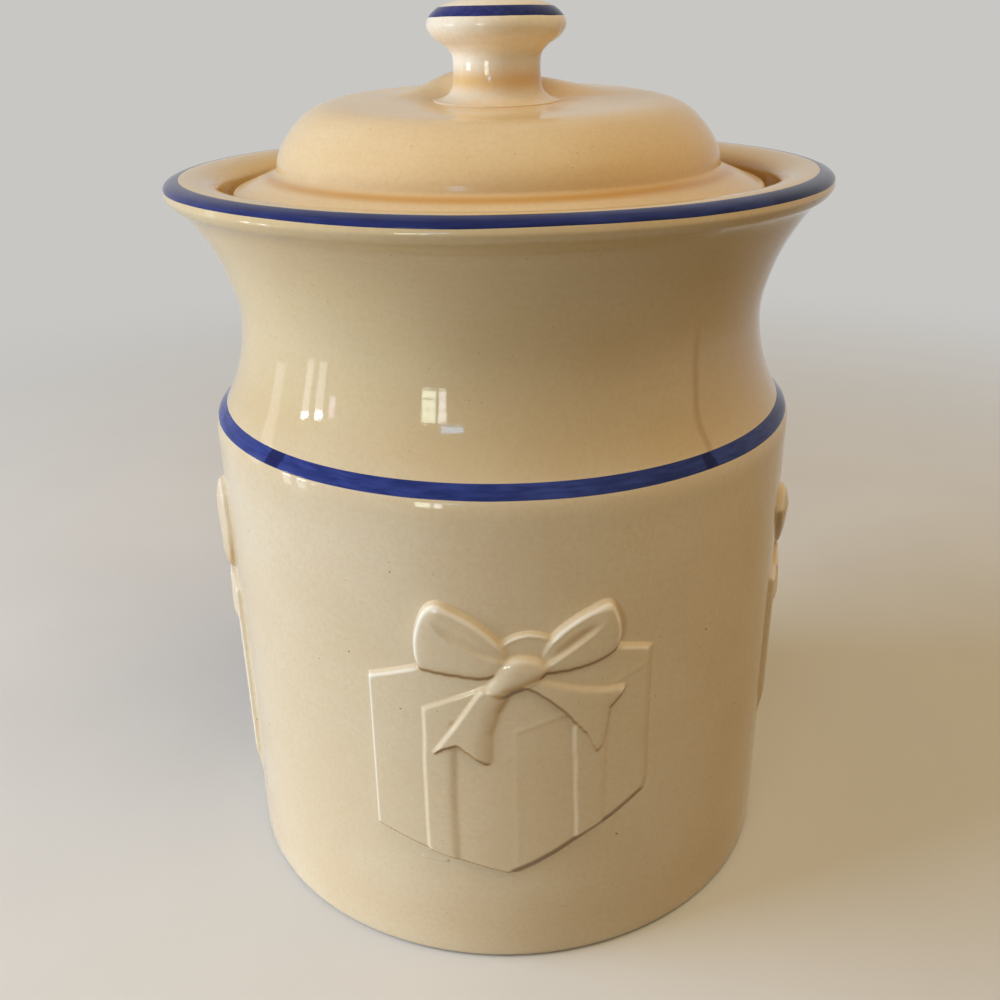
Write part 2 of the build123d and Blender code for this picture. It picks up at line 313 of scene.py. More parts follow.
def glaze_ring(line, turns, seed, uneven=UNEVEN):
    """A band of glaze over a stretch of a section: it stands proud in its middle, dives under the
    surface at both edges, and its edges wander as a brushed line does."""
    line = [beyond(line[0], line[1]), *line[1:-1], beyond(line[-1], line[-2])]
    count = len(line)
    outer, inner = [], []
    for i, (r, z) in enumerate(line):
        before, after = line[max(0, i - 1)], line[min(count - 1, i + 1)]
        along = Vector((after[0] - before[0], after[1] - before[1])).normalized()
        share = i / (count - 1)
        lift = (BAND_STANDS + BAND_DIVES) * min(1, BAND_BLUNT * share * (1 - share)) ** 0.5 - BAND_DIVES
        outer.append((r + along.y * lift, z - along.x * lift))
        inner.append((r - along.y * BAND_DEPTH, z + along.x * BAND_DEPTH))
    bm = spun(outer + inner[::-1], turns, closed=True, uneven=uneven)
    along = Vector((line[-1][0] - line[0][0], line[-1][1] - line[0][1])).normalized()
    for v in bm.verts:
        angle = math.atan2(v.co.y, v.co.x)
        at = Vector((math.cos(angle) * 2, math.sin(angle) * 2, seed))
        stray = BAND_WANDER * (noise.noise(at) + 0.25 * noise.noise(at * 3)) * MM
        v.co += Vector((math.cos(angle) * along.x, math.sin(angle) * along.x, along.y)) * stray
    return bm


def ramp(value, low, high):
    """A smooth step from 0 at one value to 1 at another."""
    share = min(1, max(0, (value - low) / (high - low)))
    return share * share * (3 - 2 * share)


def slump(bm, low, high, heel):
    """The hand-made unevenness round the knob, from nothing at one height to all of it at another: the
    crown leans to the front and sank under the knob, and clay is smeared up behind it to a heel."""
    for v in bm.verts:
        x, y, z = v.co / MM
        radius = math.hypot(x, y)
        right, back = x / max(radius, 1), y / max(radius, 1)
        near = ramp(radius, HEEL_REACH[0] + HEEL_ASIDE * right, HEEL_REACH[1])
        behind = ramp(back, *HEEL_BEHIND) * (HEEL_FULL - HEEL_FALL * right)
        stray = CROWN_LEAN * y + near * (heel * behind - CROWN_SUNK)
        v.co.z += ramp(z, low, high) * stray * MM


def mark_pools(bm, *pools):
    """Marks where the glaze has run together, and in places painted shade: each is (radius, height, reach,
    depth) in mm.
    """
    layer = bm.verts.layers.float.new("pool")
    for v in bm.verts:
        x, y, z = v.co / MM
        radius = math.hypot(x, y)
        v[layer] = sum(
            depth * math.exp(-((radius - r) ** 2 + (z - h) ** 2) / reach**2) for r, h, reach, depth in pools
        )


def piece_from(bm, name, body, material):
    """Makes a mesh a piece that rides with a body and stands for the CAD node of the same name."""
    mesh = bpy.data.meshes.new(name)
    bm.to_mesh(mesh)
    bm.free()
    mesh.shade_smooth()
    piece = bpy.data.objects.new(name, mesh)
    bpy.context.scene.collection.objects.link(piece)
    mesh.materials.append(material)
    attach(piece, body)
    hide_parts(name)


# ---------------------------------------------------------------- presents in relief
GRAIN = 0.38  # spacing of the points of a relief
BURIED = -0.5  # height of a layer outside its outline, under the wall
FRINGE = -0.22  # a relief ends this far under the wall
RELIEF_DEPTH = 1.0
SUNK_SHARE = 0.12  # share of its height that clay keeps where it sinks to the wall
SOFTENED = 1  # passes of smoothing that take the sharpness off every edge
HOLLOW_REACH = 12  # and those that tell a hollow from a rim
LOW_EDGE_SHADE = 2.3  # depth of the painted shade along edges that face down
SIDE_EDGE_SHADE = LOW_EDGE_SHADE / 3  # the same on the presents at the sides


def ease(x):
    """A smooth step from 0 at 0 to 1 at 1."""
    x = np.clip(x, 0, 1)
    return x * x * (3 - 2 * x)


def round_share(x):
    """Rises like the side of a ball: steeply at first, and flat from 1 on."""
    return np.sqrt(1 - (1 - np.clip(x, 0, 1)) ** 2)


def blurred(height, passes):
    """Heights evened out with their neighbours, so many times over."""
    for _ in range(passes):
        for axis in (0, 1):
            height = (np.roll(height, 1, axis) + 2 * height + np.roll(height, -1, axis)) / 4
    return height


def smooth_loop(points, steps=6):
    """A closed outline that runs smoothly through its points."""
    knots = [Vector((x, y, 0)) for x, y in points]
    count = len(knots)
    outline = []
    for i, a in enumerate(knots):
        b = knots[(i + 1) % count]
        way_a = (b - knots[i - 1]).normalized()
        way_b = (knots[(i + 2) % count] - a).normalized()
        reach = (b - a).length / 3
        outline += interpolate_bezier(a, a + way_a * reach, b - way_b * reach, b, steps + 1)[:-1]
    return [(p.x, p.y) for p in outline]


class Clay:
    """Clay on the wall: its height over the wall at each (across, above the wall's middle), in mm."""

    def __init__(self, half_width, low, high):
        self.columns, self.rows = round(2 * half_width / GRAIN), round((high - low) / GRAIN)
        columns = np.linspace(-half_width, half_width, self.columns + 1)
        rows = np.linspace(low, high, self.rows + 1)
        self.across, self.up = np.meshgrid(columns, rows, indexing="ij")
        self.height = np.full(self.across.shape, BURIED)

    def near(self, line):
        """How far each point lies from a line."""
        nearest = np.full(self.across.shape, 1e9)
        for (x0, y0), (x1, y1) in zip(line, line[1:]):
            dx, dy = x1 - x0, y1 - y0
            share = ((self.across - x0) * dx + (self.up - y0) * dy) / (dx * dx + dy * dy)
            share = np.clip(share, 0, 1)
            away = np.hypot(self.across - x0 - share * dx, self.up - y0 - share * dy)
            nearest = np.minimum(nearest, away)
        return nearest

    def inside(self, outline):
        """How deep each point lies inside a closed outline, and less than nothing outside it."""
        within = np.zeros(self.across.shape, bool)
        for (x0, y0), (x1, y1) in zip(outline, outline[1:] + outline[:1]):
            if y0 != y1:
                level = (self.up > min(y0, y1)) & (self.up <= max(y0, y1))
                within ^= level & (self.across < x0 + (self.up - y0) * (x1 - x0) / (y1 - y0))
        nearest = self.near(outline + outline[:1])
        return np.where(within, nearest, -nearest)

    def ridge(self, line, height, width):
        """The heights of a low rounded ridge along a line."""
        return height * np.exp(-((self.near(line) / width) ** 2))

    def lay(self, outline, top, flank=0.55, blend=0.25):
        """Lays a layer of a given top within an outline, and smooths it in where it crosses others."""
        layer = BURIED + (top - BURIED) * ease(self.inside(outline) / flank + 0.45)
        close = np.clip(1 - np.abs(layer - self.height) / blend, 0, 1)
        self.height = np.maximum(layer, self.height) + blend / 4 * close * close

    def rolled(self, outline, edge, low, high, reach, flank=0.4):
        """Lays a layer that rolls off towards one of its edges and is crisp at the others."""
        self.lay(outline, low + (high - low) * round_share(self.near(edge) / reach), flank)

    def pillow(self, outline, low, high, swell, blend=0.25):
        """Lays a layer that is low at its edge and swells to its full height further in."""
        self.lay(outline, low + (high - low) * round_share(self.inside(outline) / swell), blend=blend)

    def sink(self, share):
        """Lets what is laid fall to the wall where a share is nothing, and leaves it where it is 1."""
        kept = SUNK_SHARE + (1 - SUNK_SHARE) * share
        self.height = np.where(self.height > 0, self.height * kept, self.height)

    def bow_loop(self, outline, crease, brim, high, edge=2.0, swell=4.0, dip=0.65, drop=0.9):
        """Lays a loop of ribbon: full in front of its crease, and above it a hollow up to the brim, where
        its edge is lower. The crease and the brim start at the loop's outer end."""
        whole = smooth_loop(outline)
        edge = edge - drop * (1 - ease(self.near(brim) / 4.5))
        top = edge + (high - edge) * round_share(self.inside(whole) / swell)
        hollow = ease(self.inside(brim + crease[::-1]) / 0.55 + 0.25)
        fall = 1 - ease(self.near(crease) / 4.0)
        open_end = ease(self.near([crease[0], brim[0]]) / 7.0)
        top -= hollow * open_end * dip * (0.35 + 0.65 * fall)
        top += self.ridge(crease, 0.12, 0.5) + self.ridge(brim, 0.12, 0.45)
        self.lay(whole, top, flank=0.7)


def lay_corner_box(clay):
    """A box seen from one corner, with two ribbons, that sinks to the wall at its sides and below."""
    corner = (2.6, -34.0)
    bottom_left = (-35.6, -22.7)
    top_left = (-35.4, 25.1)
    top_right = (38.2, 31.5)
    right_side = [(37.4, -13.4), (38.3, -9.0), (38.0, 10.0), top_right]
    left_bottom = [bottom_left, (-20.9, -27.6), (-10.3, -30.9), (-0.6, -33.9), corner]
    right_bottom = [corner, (7.0, -31.9), (12.9, -28.5), (18.8, -24.6), (27.9, -19.7), right_side[0]]
    hidden_top = [(27.4, 34.2), (14.0, 37.0), (9.0, 32.0), (-3.0, 32.0), (-21.4, 30.2)]
    box = [top_left, *left_bottom, *right_bottom[1:], *right_side[1:], *hidden_top]
    face = 1.40 + 0.34 * (1 - np.abs(clay.across - corner[0]) / 38)
    near_corner = [corner, (2.4, 12.6)]
    top_edge = [(2.4, 12.6), (13.7, 16.7), (28.9, 24.6), (37.0, 28.0)]
    sheen = clay.ridge(near_corner, 0.05, 0.8) + clay.ridge(top_edge, 0.12, 0.7)
    falls = clay.near(right_side) / 2.4, clay.near(left_bottom) / 1.1, clay.near(right_bottom) / 2.8
    fall = np.clip(np.minimum.reduce(falls), 0, 1)
    top_roll = round_share(clay.near([top_right, (27.4, 34.2), (20.0, 36.0)]) / 2.2)
    clay.lay(box, face + sheen - 0.4 * (1 - top_roll), flank=0.4)

    left_side = [(-12.6, -29.9), (-12.9, -9.5), (-12.5, 8.0), (-12.5, 14.0)]
    left_ribbon = [(-20.6, 18.6), (-21.0, -6.0), (-20.8, -27.2), *left_side, (-6.0, 20.0), (-4.0, 26.6)]
    clay.rolled(left_ribbon, left_side, 1.25, 2.15, 2.6)
    right_edge = [(25.2, -20.9), (25.3, -6.0), (25.5, 6.0), (25.6, 14.8)]
    right_ribbon = [(16.4, 13.4), (17.0, -4.0), (17.3, -25.2), *right_edge, (22.0, 20.0), (14.0, 20.0)]
    clay.rolled(right_ribbon, right_edge, 1.25, 2.15, 2.2)
    clay.sink(fall)


def lay_back_of_bow(clay):
    """The back of the bow, which shows as an arc between its loops."""
    hump = [(-5.0, 33.0), (-1.4, 37.4), (1.9, 39.6), (6.1, 40.3), (10.6, 38.9), (13.6, 35.0)]
    hump = flow(hump, (1, 1.6), (1, -1.6))
    clay.lay([*hump, (11.0, 31.0), (-2.0, 31.0)], 1.15 + clay.ridge(hump, 0.25, 0.9))


def lay_tails(clay):
    """The two tails of the bow, each with a notch at its end."""
    tail_top = [(8.0, 28.2), (12.0, 26.8), (18.0, 24.6), (23.7, 23.2), (30.2, 22.8)]
    notch = [(28.5, 19.4), (26.0, 16.7)]
    tail_side = [(25.4, 11.6), (24.4, 5.9), (22.6, 3.8)]
    tail_arc = [(3.4, 26.2), (6.8, 24.5), (9.8, 22.0), (14.2, 17.6), (17.0, 13.9), (19.9, 10.1), (22.0, 5.0)]
    right_tail = [*tail_top, *notch, *tail_side, *tail_arc[::-1]]
    soft = np.minimum(clay.near(tail_top), clay.near([*notch, *tail_side]))
    clay.lay(right_tail, 1.7 + 0.95 * round_share(soft / 2.2) + clay.ridge(tail_arc, 0.22, 0.5))

    tail_roll = [(-5.2, 2.2), (-3.8, 2.4), (-3.4, 7.0), (-3.3, 11.6), (-1.4, 18.1), (2.2, 24.8)]
    left_tail = [
        (-6.2, 25.4), (-11.4, 16.6), (-19.0, 4.6), (-15.6, 7.0), (-12.3, 8.3), (-9.3, 5.8), *tail_roll,
    ]
    clay.rolled(left_tail, tail_roll, 1.1, 2.85, 5.2)


def lay_bow(clay):
    """The two loops of the bow, and the knot across them."""
    clay.bow_loop(
        outline=[
            (0.6, 33.0), (-1.2, 37.6), (-6.3, 42.9), (-12.0, 46.4), (-16.6, 48.2), (-19.8, 46.0),
            (-21.9, 40.4), (-22.4, 35.4), (-21.5, 30.3), (-18.4, 29.3), (-13.0, 28.7), (-4.0, 28.4),
        ],
        crease=[(-18.0, 43.8), (-15.6, 40.6), (-12.7, 38.3), (-9.2, 36.4), (-5.9, 34.7), (1.0, 32.6)],
        brim=[(-16.6, 46.6), (-12.0, 45.4), (-6.6, 41.9), (-2.0, 37.4), (1.0, 34.0)],
        high=2.55,
        dip=0.45,
    )
    clay.bow_loop(
        outline=[
            (8.6, 34.0), (10.8, 38.7), (15.0, 42.4), (20.4, 45.4), (25.4, 46.8), (27.4, 44.0),
            (28.6, 38.6), (27.6, 34.2), (23.5, 31.4), (16.8, 29.7), (9.8, 29.2), (7.0, 30.0),
        ],
        crease=[(24.6, 42.2), (20.5, 39.2), (15.6, 35.7), (12.0, 33.2), (8.0, 30.7)],
        brim=[(25.0, 45.4), (20.4, 44.4), (15.2, 41.4), (11.0, 37.6), (8.4, 33.4)],
        high=2.55,
        dip=0.85,
    )
    knot = smooth_loop(
        [
            (-0.4, 32.9), (2.2, 34.3), (5.2, 34.3), (8.2, 33.3), (10.0, 31.0), (8.9, 28.2),
            (6.1, 26.0), (2.4, 24.4), (-1.4, 23.0), (-4.9, 24.6), (-3.4, 28.2),
        ]
    )
    clay.pillow(knot, 1.7, 3.35, 4.6, blend=0.9)


def corner_present():
    """A box seen from one corner, with a bow on top and a smear of clay left on the wall below it."""
    clay = Clay(40, -36, 50)
    lay_corner_box(clay)
    lay_back_of_bow(clay)
    lay_tails(clay)
    lay_bow(clay)
    smear = smooth_loop([(-23.9, -30.8), (-20.0, -31.7), (-15.8, -31.3), (-19.8, -30.8)])
    clay.lay(smear, 0.22, blend=0.6)
    return clay


def standing_present(bottom, box_top, bow_top, half_width, ribbon, perk):
    """A box seen square on, with one ribbon down its middle and a bow on top, whose loops reach up by a
    share of its height at their outer ends."""
    clay = Clay(half_width + 3, bottom - 3, bow_top + 3)
    bow = bow_top - box_top

    def placed(side, *shares):
        return [(side * half_width * x, box_top + bow * y) for x, y in shares]

    box = [(-half_width, bottom), (half_width, bottom), (half_width, box_top), (-half_width, box_top)]
    lid_line = [(-half_width, box_top - 9), (half_width, box_top - 9)]
    clay.lay(box, 1.25 + clay.ridge(lid_line, 0.12, 0.6))
    band = [(-ribbon, bottom), (ribbon, bottom), (ribbon, box_top + 1), (-ribbon, box_top + 1)]
    clay.rolled(band, [(ribbon, bottom), (ribbon, box_top)], 1.2, 1.8, 2.0)
    clay.sink(ease((clay.up - bottom) / 10))
    for side in (-1, 1):
        fold = placed(side, (0.90, -0.32), (0.62, 0.0), (0.40, 0.12))
        tail = placed(side, (0.02, 0.10), (0.30, -0.30), (0.50, -0.55), (0.62, -0.28)) + fold
        clay.rolled(tail, fold, 1.3, 2.2, 4.0)
        upper = placed(side, (0.06, 0.04), (0.16, 0.42), (0.34, 0.72), (0.60, 0.95), (0.84, 0.99))
        outer_end = placed(side, (0.99, 0.84), (1.0, perk + 0.25), (0.84, perk), (0.44, perk / 3 - 0.04))
        crease = placed(side, (0.80, 0.80), (0.56, 0.56), (0.34, 0.36), (0.10, 0.24))
        brim = placed(side, (0.74, 0.92), (0.52, 0.82), (0.32, 0.64), (0.14, 0.38))
        clay.bow_loop(upper + outer_end, crease, brim, high=2.9, edge=0.3, swell=8.0, dip=1.0, drop=0)
    knot = [(-ribbon, -2), (0, -4), (ribbon, -2)]
    knot += [(ribbon, 0.38 * bow), (0, 0.52 * bow), (-ribbon, 0.38 * bow)]
    clay.pillow(smooth_loop([(x, box_top + y) for x, y in knot]), 1.6, 3.2, 3.6)
    return clay


def glaze_pools_and_edge_shade(height, low_edge_shade):
    """How deep the glaze ran together on a relief, in its hollows, and less than nothing on rims, where it
    drew thin; painted shade is added along edges that face down."""
    darkening = np.clip(0.6 * (blurred(height, HOLLOW_REACH) - height) * ease(height / 0.6), -0.3, 0.5)
    overhang = np.gradient(height, GRAIN, axis=1)
    # painted shade along edges that face down, added on to the glaze's depth
    return darkening + low_edge_shade * ease(overhang / 0.55) * ease(height / 0.5 - 0.1)


def relief(name, clay, facing, low_edge_shade):
    """A present on the wall, facing so many degrees round from the front to the right."""
    height = blurred(np.maximum(clay.height, FRINGE), SOFTENED)
    kept = blurred(height, 2) > FRINGE + 0.001
    # the glaze's depth, with painted shade along the edges that face down
    darkening = glaze_pools_and_edge_shade(height, low_edge_shade)
    bm = bmesh.new()
    bmesh.ops.create_grid(bm, x_segments=clay.columns, y_segments=clay.rows, size=1)
    layer = bm.verts.layers.float.new("pool")
    spare = []
    for v in bm.verts:
        at = round((v.co.x + 1) / 2 * clay.columns), round((v.co.y + 1) / 2 * clay.rows)
        if not kept[at]:
            spare.append(v)
            continue
        angle = clay.across[at] / WALL_RADIUS + math.radians(facing)
        z = WALL_MIDDLE + clay.up[at]
        way = Vector((math.sin(angle), -math.cos(angle), 0))
        v.co = way * (WALL_RADIUS - short_of_round(way.x, way.y, z) + height[at]) * MM
        v.co.z = z * MM
        v[layer] = darkening[at]
    bmesh.ops.delete(bm, geom=spare, context="VERTS")
    bmesh.ops.recalc_face_normals(bm, faces=bm.faces)
    middle = Vector((math.sin(math.radians(facing)), -math.cos(math.radians(facing)), 0))
    if sum(face.normal.dot(middle) for face in bm.faces) < 0:
        bmesh.ops.reverse_faces(bm, faces=bm.faces)
    bmesh.ops.solidify(bm, geom=bm.faces[:], thickness=RELIEF_DEPTH * MM)
    piece_from(bm, name, "jar", CREAM)


# ---------------------------------------------------------------- glazes
def rgb(red, green, blue):
    """A colour written as a screen shows it, in the light that a shader works in."""

    def linear(value):
        value /= 255
        return value / 12.92 if value <= 0.04045 else ((value + 0.055) / 1.055) ** 2.4

    return (linear(red), linear(green), linear(blue), 1.0)


class Bench:
    """One material, with short names for making its nodes."""

    def __init__(self, name):
        self.material = bpy.data.materials.new(name)
        self.material.use_nodes = True
        self.tree = self.material.node_tree
        self.tree.nodes.clear()
        self.out = self.tree.nodes.new("ShaderNodeOutputMaterial")
        self.surface = self.tree.nodes.new("ShaderNodeBsdfPrincipled")
        self.link(self.surface.outputs["BSDF"], self.out.inputs["Surface"])
        self.place = self.tree.nodes.new("ShaderNodeTexCoord").outputs["Object"]

    def link(self, source, target):
        """Joins two sockets, or sets the second to a plain value."""
        if isinstance(source, (int, float, tuple)):
            target.default_value = source
        else:
            self.tree.links.new(source, target)

    def maths(self, operation, a, b=0.0):
        """One step of arithmetic on one or two values."""
        node = self.tree.nodes.new("ShaderNodeMath")
        node.operation = operation
        self.link(a, node.inputs[0])
        self.link(b, node.inputs[1])
        return node.outputs[0]

    def parts(self, vector):
        node = self.tree.nodes.new("ShaderNodeSeparateXYZ")
        self.link(vector, node.inputs[0])
        return node.outputs

    def round_z(self):
        """The distance of each point from the Z axis."""
        x, y, _ = self.parts(self.place)
        squares = self.maths("ADD", self.maths("MULTIPLY", x, x), self.maths("MULTIPLY", y, y))
        return self.maths("SQRT", squares)

    def turn(self):
        """The angle round the Z axis, from the front to the right."""
        x, y, _ = self.parts(self.place)
        return self.maths("ARCTAN2", x, self.maths("MULTIPLY", y, -1.0))

    def run(self, degrees, half_width):
        """A thin line that wanders down the wall at an angle round the Z axis."""
        wander = self.span(self.cloud(22, 1, 0.4, self.scaled(0.0, 0.0, 1.0)), 0.3, 0.7, -0.0016, 0.0016)
        away = self.maths("SUBTRACT", self.turn(), math.radians(degrees))
        away = self.maths("MULTIPLY", away, self.round_z())
        away = self.maths("ABSOLUTE", self.maths("ADD", away, wander))
        return self.span(away, half_width, 0.0)

    def scaled(self, x, y, z):
        """The place of each point, scaled along the three axes."""
        node = self.tree.nodes.new("ShaderNodeMapping")
        node.inputs["Scale"].default_value = (x, y, z)
        self.link(self.place, node.inputs["Vector"])
        return node.outputs[0]

    def cloud(self, size, detail=2.0, rough=0.5, vector=None):
        """Soft noise whose blots are about so many millimetres across."""
        node = self.tree.nodes.new("ShaderNodeTexNoise")
        self.link(vector or self.place, node.inputs["Vector"])
        node.inputs["Scale"].default_value = 1 / (size * MM)
        node.inputs["Detail"].default_value = detail
        node.inputs["Roughness"].default_value = rough
        return node.outputs["Fac"]

    def spots(self, spacing, radius, chance):
        """Round specks: so many millimetres apart, up to that radius, and only a share of them there."""
        node = self.tree.nodes.new("ShaderNodeTexVoronoi")
        self.link(self.place, node.inputs["Vector"])
        node.inputs["Scale"].default_value = 1 / (spacing * MM)
        parts = self.tree.nodes.new("ShaderNodeSeparateColor")
        self.link(node.outputs["Color"], parts.inputs[0])
        size = self.maths("MULTIPLY", parts.outputs[1], radius / spacing)
        near = self.span(node.outputs["Distance"], size, self.maths("MULTIPLY", size, 0.5))
        return self.maths("MULTIPLY", near, self.maths("LESS_THAN", parts.outputs[0], chance))

    def span(self, value, low, high, to_low=0.0, to_high=1.0, kind="SMOOTHSTEP"):
        """Carries a value from one range to another, and holds it at their ends."""
        node = self.tree.nodes.new("ShaderNodeMapRange")
        node.interpolation_type = kind
        sources = {"Value": value, "From Min": low, "From Max": high, "To Min": to_low, "To Max": to_high}
        for socket, source in sources.items():
            self.link(source, node.inputs[socket])
        return node.outputs["Result"]

    def mix(self, share, a, b):
        """A colour that is a where the share is 0, and b where it is 1."""
        node = self.tree.nodes.new("ShaderNodeMix")
        node.data_type = "RGBA"
        for socket, source in ((0, share), (6, a), (7, b)):
            self.link(source, node.inputs[socket])
        return node.outputs[2]

    def pool(self):
        """How deep the glaze has run together, with painted shade on the same mark, as it is marked on the
        points of a piece.
        """
        node = self.tree.nodes.new("ShaderNodeAttribute")
        node.attribute_name = "pool"
        return node.outputs["Fac"]

    def gloss(self, colour, rough, steps, index=1.50):
        """A glossy glaze of a given refractive index, with a bump from (height in mm, source) pairs."""
        inputs = self.surface.inputs
        self.link(colour, inputs["Base Color"])
        self.link(rough, inputs["Roughness"])
        inputs["IOR"].default_value = index
        normal = None
        for depth, source in steps:
            node = self.tree.nodes.new("ShaderNodeBump")
            node.inputs["Strength"].default_value = 1.0
            node.inputs["Distance"].default_value = depth * MM
            self.link(source, node.inputs["Height"])
            if normal:
                self.link(normal, node.inputs["Normal"])
            normal = node.outputs["Normal"]
        self.link(normal, inputs["Normal"])


# Heights and radii of the glazes in metres, as a shader reads them
WARMER = (0.126, 0.156)  # the clear glaze turns warmer between these heights
RUN_TURN = 39.0  # where a run of glaze comes down the neck, in degrees from the front to the right
RUN_HALF = 0.0019  # half of its width
RUN_STARTS = (0.178, 0.160)  # it grows from nothing to full between these heights
RUN_ENDS = (0.140, 0.143)  # and is gone below these
BARE_BELOW = (0.0015, 0.0011)  # the foot ring is bare below these heights
BARE_BEYOND = (0.067, 0.068)  # and beyond these radii
STREAK_PACE = 0.012  # metres of noise to a radian round the jar, which draws its blots out to streaks
OVERLAP_SOFT = 0.006  # radians over which the ends of an overlap fade, to each side
OVERLAP_SHARE = 0.85

RUN = rgb(176, 124, 66)
SHADE_UNDER_EDGES = rgb(122, 96, 60)  # painted shade under edges that face down, where their mark runs past 1
THIN = rgb(252, 244, 230)  # where it drew off a rim
BRUSHED_DEEP = rgb(24, 30, 88)
BRUSHED_TWICE = rgb(12, 16, 78)
SPECK = rgb(104, 76, 42)
DUST = rgb(150, 118, 74)
BARE_CLAY = (rgb(226, 214, 192), rgb(190, 170, 140))


def clear_colour(bench, height, rings, low, high, thick):
    """The colours of a clear glaze, one over another: its drift from low to high, clouds and mottle,
    throwing rings, the run, pools with the painted shade that shares their mark, thin places, and the iron
    specks of the clay."""
    drift = bench.span(bench.cloud(45, 2), 0.3, 0.7, -0.006, 0.006)
    colour = bench.mix(bench.span(bench.maths("ADD", height, drift), *WARMER), low, high)
    colour = bench.mix(bench.span(bench.cloud(38, 3), 0.35, 0.70, 0.0, 0.16), colour, thick)
    mottle = bench.cloud(1.3, 4, 0.7)
    colour = bench.mix(bench.span(mottle, 0.35, 0.75, 0.0, 0.20), colour, thick)
    colour = bench.mix(bench.span(rings, 0.42, 0.68, 0.0, 0.035), colour, thick)
    run = bench.maths("MULTIPLY", bench.run(RUN_TURN, RUN_HALF), bench.span(height, *RUN_STARTS))
    colour = bench.mix(bench.maths("MULTIPLY", run, bench.span(height, *RUN_ENDS, 0.0, 0.42)), colour, RUN)
    pool = bench.pool()
    # thicker glaze in pools, with painted shade where the mark comes from down-facing edges or the gap under
    # the lid
    colour = bench.mix(bench.span(pool, 0.02, 0.9, 0.0, 0.9, "LINEAR"), colour, thick)
    # painted shade under edges that face down, where the mark runs past 1
    colour = bench.mix(bench.span(pool, 1.0, 2.0, 0.0, 0.8, "LINEAR"), colour, SHADE_UNDER_EDGES)
    colour = bench.mix(bench.span(pool, -0.06, -0.28, 0.0, 0.85), colour, THIN)
    colour = bench.mix(bench.maths("MULTIPLY", bench.spots(2.5, 0.30, 0.6), 0.50), colour, DUST)
    return bench.mix(bench.maths("MULTIPLY", bench.spots(7.0, 0.50, 0.45), 0.80), colour, SPECK)


def clear_glaze(name, low, high, thick, dull=0.0, index=1.50):
    """A glossy clear glaze over pale clay: one colour on the wall, a warmer one above the shoulder,
    amber where it has run together, painted shade on the same mark, and paler where it is thin.
    The foot ring is wiped bare."""
    bench = Bench(name)
    _, _, height = bench.parts(bench.place)
    rings = bench.cloud(1.0, 3, 0.6, bench.scaled(0.02, 0.02, 1.1))
    colour = clear_colour(bench, height, rings, low, high, thick)
    rough = bench.span(bench.cloud(12, 3), 0.3, 0.7, 0.03 + dull, 0.07 + dull)
    steps = [(0.18, bench.cloud(24, 1)), (0.012, rings), (0.008, bench.cloud(2.4, 1))]

    grain = bench.cloud(0.5, 4, 0.7)
    edge = bench.maths("ADD", height, bench.span(bench.cloud(5, 2), 0.3, 0.7, -0.0004, 0.0004))
    on_ring = bench.span(bench.round_z(), *BARE_BEYOND)
    bare = bench.maths("MULTIPLY", bench.span(edge, *BARE_BELOW), on_ring)
    colour = bench.mix(bare, colour, bench.mix(grain, *BARE_CLAY))
    rough = bench.maths("ADD", rough, bench.maths("MULTIPLY", bare, 0.65))
    steps.append((0.05, bench.maths("MULTIPLY", grain, bare)))
    bench.gloss(colour, rough, steps, index)
    return bench.material


def cobalt_glaze(name, deep, light, overlaps):
    """Brushed cobalt under the same gloss: streaks run round the jar, and it is darkest where the
    brush overlapped its own start. Overlaps are (degrees from, degrees to), from the front to the right."""
    bench = Bench(name)
    turn = bench.turn()
    flat = bench.tree.nodes.new("ShaderNodeCombineXYZ")
    stretched = (bench.maths("MULTIPLY", turn, STREAK_PACE), bench.round_z(), bench.parts(bench.place)[2])
    for socket, source in enumerate(stretched):
        bench.link(source, flat.inputs[socket])
    streaks = bench.cloud(1.1, 3, 0.55, flat.outputs[0])
    colour = bench.mix(bench.span(streaks, 0.3, 0.7), deep, light)
    colour = bench.mix(bench.span(bench.cloud(24, 2), 0.35, 0.7, 0.0, 0.4), colour, BRUSHED_DEEP)
    ragged = bench.maths("ADD", turn, bench.span(bench.cloud(3, 2), 0.3, 0.7, -0.008, 0.008))
    for start, end in overlaps:
        start, end = math.radians(start), math.radians(end)
        rise = bench.span(ragged, start - OVERLAP_SOFT, start + OVERLAP_SOFT)
        fall = bench.span(ragged, end + OVERLAP_SOFT, end - OVERLAP_SOFT)
        over = bench.maths("MULTIPLY", bench.maths("MULTIPLY", rise, fall), OVERLAP_SHARE)
        colour = bench.mix(over, colour, BRUSHED_TWICE)
    rough = bench.span(bench.cloud(6, 3), 0.3, 0.7, 0.08, 0.15)
    bench.gloss(colour, rough, [(0.012, streaks), (0.008, bench.cloud(2.4, 1))], index=1.27)
    return bench.material


CREAM = clear_glaze("cream glaze", rgb(231, 214, 184), rgb(226, 203, 160), rgb(205, 165, 104))
GOLDEN = clear_glaze("golden glaze", rgb(235, 212, 172), rgb(235, 212, 172), rgb(208, 160, 92), 0.09, 1.38)
PALE = clear_glaze("pale glaze of the knob", rgb(246, 237, 219), rgb(246, 237, 219), rgb(222, 176, 104))
COBALT_SHOULDER = cobalt_glaze(
    "cobalt on the shoulder", rgb(38, 52, 120), rgb(56, 72, 148), [(-46.2, -42.6), (37.1, 39.4)]
)
COBALT_RIM = cobalt_glaze("cobalt on the rim", rgb(28, 38, 96), rgb(42, 54, 120), [(43.0, 58.0)])
COBALT_KNOB = cobalt_glaze("cobalt on the knob", rgb(34, 38, 100), rgb(48, 56, 124), [(-100.0, -88.0)])


